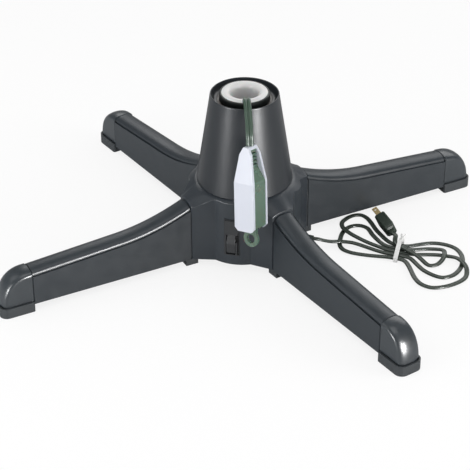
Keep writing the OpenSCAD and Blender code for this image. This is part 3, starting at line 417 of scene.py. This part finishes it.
# ---- mains cord: from the gland through the hank to the plug ----
# height of the runs that lie in the tie
waist = 2.8
cordRoute = [
    [81, 4, 15.5], [87, 5.6, 14.6], [93, 9.4, 11.2], [100.5, 15, 7.4], [110, 20.4, 5.5],
    [124, 22.6, 4.6], [139, 19.8, 3.4], [153, 15.6, 2.9], [162, 13.4, waist], [170, 12.45, waist],
    [178, 11.5, waist], [186, 10.55, waist], [193.5, 9, waist], [201, 2, 2], [211, -9, 1.6],
    [223, -17, 1.6], [236, -20, 1.6], [247, -12, 1.6], [252.5, 2, 1.6], [253.5, 17, 1.6],
    [250, 32, 1.6], [241, 44, 1.6], [227, 49, 1.6], [213, 48, 1.6], [200, 41, 2.2], [189, 34, waist],
    [178, 32.5, waist], [169, 34.5, waist], [161, 41, 2.4], [153, 51, 1.8], [145, 61.5, 1.6],
    [137.5, 74, 1.6], [129.5, 85, 1.6], [120.5, 89.5, 1.6], [111, 84.5, 1.6], [105.2, 73.5, 2.4],
    [103.8, 61.5, 4.8], [107, 51, 5.6], [114.5, 43, 5.5], [124.5, 37, 4.6], [139, 30.5, 3.2],
    [154, 24.5, 2.8], [166, 20, waist], [178, 18.5, waist], [189, 17.5, waist], [201, 19.5, 2],
    [213, 23, 1.6], [225, 25, 1.6], [234, 25, 1.6], [241, 23, 2.8], [247.5, 18, 5], [254, 11, 5.6],
    [260, 1, 4.4], [261, -13, 1.7], [253, -27, 1.6], [240, -38, 1.6], [226, -43, 1.6], [213, -38, 1.6],
    [204, -26, 1.6], [197, -11, 2], [189, 1.5, waist], [178, 4.5, waist], [166, 5.5, 2.4],
    [153, 5.2, 1.8], [139, 5, 1.6], [125, 6.2, 1.6], [114.5, 11, 1.6], [109, 21, 1.6],
    [107.6, 34, 1.6], [108, 47, 1.6], [113, 60, 1.6], [123.5, 66, 1.6], [134.5, 62.5, 1.6],
    [142, 51, 1.6], [150.5, 40, 1.8], [158.5, 31.5, 2.2], [168, 26.6, waist], [178, 25.5, waist],
    [189, 25.8, waist], [199, 29.5, 2.2], [209, 34, 1.8], [219, 35.5, 2.2], [228, 32, 4.6],
    [231.5, 24.5, 5.6], [231, 14.5, 4], [226, 5, 1.8], [217, 1, 1.6], [208.5, 7, 3.4], [201, 12, 5.8],
    [194, 16, 6.4], [187.5, 20.5, 6.4], [181, 25, 6.4], [178.2, 26.9, 6.4], [174.9, 29, 6.4],
    [172.4, 32.4, 7.2], [171.7, 36.4, 8.9]]
plugDir = np.array([-0.5623, 0.8269, 0])
plugBack = np.array([167.6, 46.5, 10.2])
cordRoute += [list(plugBack - 7 * plugDir), list(plugBack - 3.5 * plugDir), list(plugBack)]
stubRoute = [[54.5, 4, 15.5], [64, 4, 15.5], [74, 4, 15.5], [81, 4, 15.5]]


def addMainsCord():
    path = finer(finer(cordRoute))
    cord = sweepCord("mainsCord", path, cordSize, "cord_green", "base", ["cord_hank", "plug_lead"])
    sweepCord("mainsCordInside", [np.array(p, float) for p in stubRoute], cordSize, "cord_green", "base",
              "mains_cord")
    print("mains cord", round(pathLength(path)), "mm")


# ---- outlet lead: up its groove in the socket, over the rim and down to the block ----
leadTurn, hangTilt, hangTop = math.radians(18.5), math.radians(13), (68, 168.8)


def leadPoint(r, z):
    return [r * math.sin(leadTurn), -r * math.cos(leadTurn), z]


def addOutletLead():
    hang = [(hangTop[0] - k * math.sin(hangTilt), hangTop[1] + k * math.cos(hangTilt)) for k in (10, 5, 0)]
    route = [(23.4, 111.6), (23.4, 150), (23.4, 186), (23.5, 197), (25, 202.6), (28.6, 205), (33, 204.8),
             (38, 203.2), (43.2, 201), (48.6, 197.9), (54, 193.6), (58.8, 188.6), (62.6, 183.8)] + hang
    path = finer(finer([leadPoint(*p) for p in route]))
    side = (math.cos(leadTurn), math.sin(leadTurn), 0)
    lead = sweepCord("outletLead", path, leadSize, "lead_green", "rotor", "outlet_lead", side)
    print("outlet lead", round(pathLength(path)), "mm")


addMainsCord()
addOutletLead()
print("cords laid")


# ---- hub: a moulded shell with a sloping roof whose arms are rounded like the legs ----
def polar(deg, r, side=0):
    a = math.radians(deg)
    return (r * math.cos(a) - side * math.sin(a), r * math.sin(a) + side * math.cos(a))


def spun(points, deg):
    a = math.radians(deg)
    return [(x * math.cos(a) - y * math.sin(a), x * math.sin(a) + y * math.cos(a)) for x, y in points]


# a wall of the hub in plan, which swells out in its middle
def wallArc(half, out, n=26):
    return [(half * s, out + hub["swell"] * (1 - s * s)) for s in [1 - 2 * i / n for i in range(n + 1)]]


def seamLine(deg, d, n=16):
    w = leg["width"] / 2 - d
    return [polar(deg, hub["seamR"] - d, -w + 2 * w * i / n) for i in range(n + 1)]


# the hub's outline in plan, drawn in by d
def hubPlan(d):
    front, side = hub["front"] - d, hub["side"] - d
    parts = [spun(wallArc(hub["frontHalf"], front), 180), seamLine(legDirs["front_right"], d),
             spun(wallArc(hub["sideHalf"], side), 270), seamLine(legDirs["back_right"], d),
             wallArc(hub["frontHalf"], front), seamLine(legDirs["back_left"], d),
             spun(wallArc(hub["sideHalf"], side), 90), seamLine(legDirs["front_left"], d)]
    # the flat flanks between a wall's corner and a seam's corner get points too
    out = []
    for i, part in enumerate(parts):
        a, b = part[-1], parts[(i + 1) % 8][0]
        out += part + [(a[0] + (b[0] - a[0]) * k / 6, a[1] + (b[1] - a[1]) * k / 6) for k in range(1, 6)]
    return out


# the roof slopes from the shoulder outwards and is crowned across each arm
def roofHeight(x, y):
    r, deg = math.hypot(x, y), math.degrees(math.atan2(y, x))
    off = min(abs((deg - d + 180) % 360 - 180) for d in legDirs.values())
    s = min(1, abs(r * math.sin(math.radians(off))) / (leg["width"] / 2)) if off < 90 else 1
    t = max(0, (r - hub["shoulderR"]) / (hub["seamR"] - hub["shoulderR"]))
    dome = hub["height"] - (hub["height"] - hub["seamH"] - 0.6) * (t if t < 1 else 1 + (t - 1) * 0.25)
    share = min(1, max(0, (r - hub["crownFrom"]) / (hub["seamR"] - hub["crownFrom"])))
    return dome - hub["crown"] * (1 - math.sqrt(max(0, 1 - s * s * 0.98))) * share * share * (3 - 2 * share)


def addHub():
    outer, inner = hubPlan(0), hubPlan(hub["wall"])
    n, low, deck = len(outer), leg["lift"], hub["height"]
    rings = [[(x, y, low) for x, y in outer]]
    for f in (0.25, 0.5, 0.75, 0.975):
        rings.append([(x, y, low + (roofHeight(x, y) - low) * f) for x, y in outer])
    rings.append([(x, y, roofHeight(x, y)) for x, y in outer])
    for f in (0.06, 0.14, 0.24, 0.35, 0.47, 0.6, 0.73, 0.86, 1):
        ring = []
        for x, y in outer:
            r = math.hypot(x, y)
            px, py = [c + (c * hub["roofInR"] / r - c) * f for c in (x, y)]
            ring.append((px, py, roofHeight(px, py)))
        rings.append(ring)
    under = deck - hub["deckT"]
    for r, z in ((hub["deckInR"], deck), (hub["stubR"], deck), (hub["stubR"], under),
                 (hub["roofInR"], under)):
        rings.append([(x * r / math.hypot(x, y), y * r / math.hypot(x, y), z) for x, y in outer])
    rings.append([(x, y, roofHeight(x, y) - hub["deckT"]) for x, y in inner])
    rings.append([(x, y, low) for x, y in inner])
    verts, last = [p for ring in rings for p in ring], (len(rings) - 1) * n
    faces = ringFaces(len(rings), n)
    faces += [(last + j, last + (j + 1) % n, (j + 1) % n, j) for j in range(n)]
    obj = meshObject("hubShell", verts, faces, "hub_plastic", "base", "hub_base")
    sharpen(obj, 28)
    bevel(obj, hub["edge"], 3, 28)
    cutOut(obj, "switchOpening", boxCorners(switchHole["x"], switchHole["y"], switchHole["z"]), boxFaces)
    steps, radius = 32, glandHole["radius"]
    verts = [(x, glandHole["y"] + math.cos(a) * radius, glandHole["z"] + math.sin(a) * radius)
             for x in glandHole["x"] for a in np.linspace(0, 2 * math.pi, steps + 1)[:-1]]
    ends = [tuple(range(steps)), tuple(range(2 * steps - 1, steps - 1, -1))]
    cutOut(obj, "glandHole", verts, ringFaces(2, steps) + ends)


def cutOut(obj, name, verts, faces):
    m = obj.modifiers.new(name, "BOOLEAN")
    m.operation, m.object, m.solver = "DIFFERENCE", cutter(name, verts, faces), "EXACT"


def cutter(name, verts, faces):
    mesh = bpy.data.meshes.new(name)
    mesh.from_pydata([tuple(c * mm for c in v) for v in verts], [], faces)
    obj = bpy.data.objects.new(name, mesh)
    scene.collection.objects.link(obj)
    fixNormals(obj)
    obj.hide_render = True
    obj.hide_viewport = True
    return obj


# ---- tower ----
def addTower():
    z0, z1 = hub["height"], hub["height"] + tower["height"]
    dish = z1 - tower["dish"]
    rimIn, bush = tower["rimR"] - tower["lip"], tower["bushR"]
    wall, flange = tower["wall"], tower["footR"] - tower["footFlange"]
    side = [(tower["footR"] - 0.5, z0), (tower["footR"], z0 + 0.5)]
    side += [(tower["footR"] + (tower["rimR"] - tower["footR"]) * t, z0 + 0.5 + (tower["height"] - 1.7) * t)
             for t in (0.1, 0.25, 0.5, 0.75, 0.9, 1)]
    lip = [(tower["rimR"] - 0.6 + 0.6 * math.cos(a), z1 - 1.0 + 1.0 * math.sin(a))
           for a in (0.5, 0.9, 1.3, 1.57)]
    lip += [(rimIn + 0.5, z1), (rimIn, z1 - 0.5)]
    bowl = [(rimIn - 3.4 * math.sin(a), dish + 0.6 + (tower["dish"] - 1.3) * (1 - math.sin(a)) ** 1.3)
            for a in (0.15, 0.35, 0.6, 0.85, 1.1, 1.35)]
    bowl += [(rimIn - 4.2, dish + 0.1), (bush + 0.4, dish), (bush, dish - 0.4)]
    under = [(bush, dish - tower["sleeve"]), (bush + wall, dish - tower["sleeve"]),
             (bush + wall, dish - wall), (tower["rimR"] - wall, dish - wall),
             (tower["footR"] - wall, z0 + tower["footT"]), (flange, z0 + tower["footT"]), (flange, z0)]
    profile = side + lip + bowl + under
    obj = lathe("towerShell", profile, "hub_plastic", "base", "tower_shell", steps=144, sharp=30)
    # painted shade: the tower's hub plastic is swapped for a darker copy of the same plastic
    obj.data.materials[0] = looks["tower_painted_shade"]


# ---- legs and their end caps ----
def shoulder(x):
    rise = leg["inH"] - leg["outH"] - leg["fall"] * leg["length"]
    return leg["outH"] + leg["fall"] * (leg["length"] - x) + rise * max(0, 1 - x / leg["sweep"]) ** 2


# cross-section of a leg, an open channel with shoulders h high and a crown between them
def legSection(h, wide, steps=22):
    low, under = leg["lift"], h - leg["groove"]
    w = wide - leg["ledge"] - 0.6
    edge = [(wide - 0.5, low), (wide, low + 0.5), (wide, low + 1.2), (wide, h - 1.3), (wide, h - 0.15),
            (wide - 0.15, h), (wide - 0.35, h - 0.1), (wide - 0.5, under), (w, under)]
    top = [(w * math.cos(a), h + leg["crown"] * math.sin(a) ** leg["crownPower"])
           for a in np.linspace(0.03, math.pi - 0.03, steps)]
    wall = leg["wall"]
    inner = [((wide - wall) * math.cos(a), h - wall + leg["crown"] * math.sin(a) ** leg["crownPower"])
             for a in np.linspace(0, math.pi, 14)]
    outline = edge + top + [(-y, z) for y, z in reversed(edge)]
    return outline + [(-wide + wall, low)] + inner[::-1] + [(wide - wall, low)]


def legPoint(deg, x, y, z):
    px, py = polar(deg, hub["seamR"] + x, y)
    return (px, py, z)


def addLeg(side):
    deg = legDirs[side]
    # a narrow square groove where the leg meets the hub
    gap, depth = leg["seamGap"], leg["seamDepth"]
    stations = [(0, depth), (gap, depth), (gap + 0.05, 0.3), (gap + 0.3, 0)]
    stations += [(x, 0) for x in np.linspace(3, leg["sweep"], 22)]
    stations += [(x, 0) for x in np.linspace(leg["sweep"] + 10, leg["length"] - 0.5, 12)]
    stations.append((leg["length"], 0.35))
    rings = []
    for x, small in stations:
        section = legSection(shoulder(x) - small, leg["width"] / 2 - small)
        rings.append([legPoint(deg, x, y, z) for y, z in section])
    n = len(rings[0])
    verts = [p for r in rings for p in r]
    faces = ringFaces(len(rings), n)
    # corners of the outer outline: two edges of 9 and a crown of 22
    half = 9 + 22 + 9
    # the two ends of the channel, as strips between its outer and inner outline
    for start in (0, (len(rings) - 1) * n):
        outer = [start + j for j in range(half)]
        inner = [start + n - 1 - j for j in range(n - half)]
        faces += ribbon(verts, outer, inner)
    # wall that is bolted to the hub, a little inside the channel's outline
    plate = [(y * 0.93, z - 1.4) for y, z in legSection(shoulder(0), leg["width"] / 2)[4:half - 4]]
    plate = [(plate[0][0], leg["lift"] + 1)] + plate + [(plate[-1][0], leg["lift"] + 1)]
    k, base = len(plate), len(verts)
    verts += [legPoint(deg, x, y, z) for x in leg["plateEnds"] for y, z in plate]
    faces += ringFaces(2, k, base)
    faces += [tuple(base + j for j in range(k)), tuple(base + 2 * k - 1 - j for j in range(k))]
    obj = meshObject("leg_" + side, verts, faces, "leg_plastic", "base", "leg_" + side)
    sharpen(obj, 32)


# triangles between two rows of vertices that run the same way
def ribbon(verts, a, b):
    def apart(p, q):
        return sum((verts[p][k] - verts[q][k]) ** 2 for k in range(3))

    faces, i, j = [], 0, 0
    while i < len(a) - 1 or j < len(b) - 1:
        if j == len(b) - 1 or (i < len(a) - 1 and apart(a[i + 1], b[j]) <= apart(a[i], b[j + 1])):
            faces.append((a[i], a[i + 1], b[j]))
            i += 1
        else:
            faces.append((a[i], b[j + 1], b[j]))
            j += 1
    return faces


def addCap(side):
    deg, x0 = legDirs[side], leg["length"]
    wide, low, rise, seam = nose["half"], leg["lift"], leg["outH"] - leg["lift"], nose["seam"]
    reach = nose["length"] - leg["crown"]
    power = nose["power"]
    # two more stations where the groove over the rubber foot begins
    extra = [math.acos(((z - low) / rise) ** (1 / power)) for z in (nose["bandTop"], nose["bandTop"] - 0.5)]
    ts, qs = sorted(list(np.linspace(0, math.pi / 2, 30)) + extra), np.linspace(0, math.pi, 25)
    line = [(seam + (reach - seam) * math.sin(t) ** power, low + rise * max(0, math.cos(t)) ** power)
            for t in ts]
    line[0], line[-1] = (seam, low + rise), (reach, low)
    verts, rows = [], []
    for i, (x, z) in enumerate(line):
        a, b = line[max(i - 1, 0)], line[min(i + 1, len(line) - 1)]
        d = np.array([b[0] - a[0], b[1] - a[1]])
        d /= np.linalg.norm(d)
        nx, nz = (0, 1) if i == 0 else (1, 0) if i == len(line) - 1 else (-d[1], d[0])
        small = nose["band"] if z < nose["bandTop"] - 0.2 else 0
        rings = [(x - small, wide - small, z, 1)]
        if i == 0:
            rings = [(0.05, wide - seam, z - seam, 0.94), (seam, wide, z, 1)]
        for rx, rw, rz, share in rings:
            row = []
            for q in qs:
                k = share * leg["crown"] * math.sin(q) ** leg["crownPower"] if 0 < q < math.pi - 1e-6 else 0
                row.append(len(verts))
                verts.append(legPoint(deg, x0 + rx + nx * k, rw * math.cos(q), rz + nz * k))
            rows.append(row)
    faces = []
    for r0, r1 in zip(rows, rows[1:]):
        faces += [(r0[j], r0[j + 1], r1[j + 1], r1[j]) for j in range(len(qs) - 1)]
    # flat flanks back to the leg, with the same narrowing at the seam and over the foot
    for s, j in ((1, 0), (-1, len(qs) - 1)):
        edge = [row[j] for row in rows]
        for back, small in ((seam, 0), (0.05, seam)):
            column = []
            for i, (x, z) in enumerate([(0, line[0][1] - seam)] + line):
                less = seam if i == 0 else max(small, nose["band"] if z < nose["bandTop"] - 0.2 else 0)
                column.append(len(verts))
                verts.append(legPoint(deg, x0 + (0.05 if i == 0 else back), s * (wide - less), z))
            faces += [(edge[i], edge[i + 1], column[i + 1], column[i]) for i in range(len(edge) - 1)]
            edge = column
    obj = meshObject("end_cap_" + side, verts, faces, "cap_plastic", "base", "end_cap_" + side)
    closeHoles(obj)
    sharpen(obj, 40)
    # spigot in the leg's end
    half, top = nose["spigotHalf"], leg["outH"] - nose["spigotDrop"]
    box = boxCorners((x0 - nose["spigot"], x0 + 0.04), (-half, half), (low + 1, top))
    box = [legPoint(deg, *p) for p in box]
    spigot = meshObject("cap_spigot_" + side, box, boxFaces, "cap_plastic", "base")
    spigot.data.set_sharp_from_angle(angle=0.5)
    bevel(spigot, 0.4, 2)


def closeHoles(obj):
    b = bmesh.new()
    b.from_mesh(obj.data)
    bmesh.ops.remove_doubles(b, verts=b.verts, dist=2e-6)
    bmesh.ops.holes_fill(b, edges=b.edges, sides=0)
    bmesh.ops.recalc_face_normals(b, faces=b.faces)
    b.to_mesh(obj.data)
    b.free()


addHub()
addTower()
for side in legDirs:
    addLeg(side)
    addCap(side)
print("hub, tower and legs made")


# ---- rocker: its upper half is pushed in, and both halves slope back from the middle ----
def addRocker():
    half, proud, ends = rocker["half"], -rocker["proud"], -rocker["ends"]
    tilt, (x0, y0, z0) = math.radians(rocker["tilt"]), rocker["at"]
    side = [(ends, half), (proud, 0.4), (proud, -0.4), (ends, -half), (-1, -half), (2.6, 0), (-1, half)]
    turned = [(y0 + y * math.cos(tilt) - z * math.sin(tilt), z0 + y * math.sin(tilt) + z * math.cos(tilt))
              for y, z in side]
    rings = [[(x0 + x, y, z) for y, z in turned] for x in (-rocker["width"] / 2, rocker["width"] / 2)]
    button = loft("rockerButton", rings, "switch_plastic", "rocker", "switch_rocker", sharp=25)
    bevel(button, rocker["edge"], 3, 20)


addRocker()
print("rocker made")


# ---- the CAD's own pieces: rounded edges ----
rounded = {"hub_pads": 0.8, "collar_ring": 0.5, "pole_socket": 0.35, "switch_housing": 0.4,
           "outlet_body": 0.5, "outlet_cover": 0.5, "cord_gland": 0.3, "cord_tie": 0.25, "plug_body": 0.6,
           "plug_blades": 0.2, "motor": 0.5, "terminal_block": 0.4, "brush_holder": 0.4,
           "motor_bracket": 0.2, "hub_bottom_plate": 0.3, "main_gear": 0.1, "idler_gear": 0.1}
for side in legDirs:
    rounded["foot_" + side] = 0.8
for name, width in rounded.items():
    bevel(nodes[name], width, 3 if width >= 0.4 else 2, 42)
print("edges rounded")
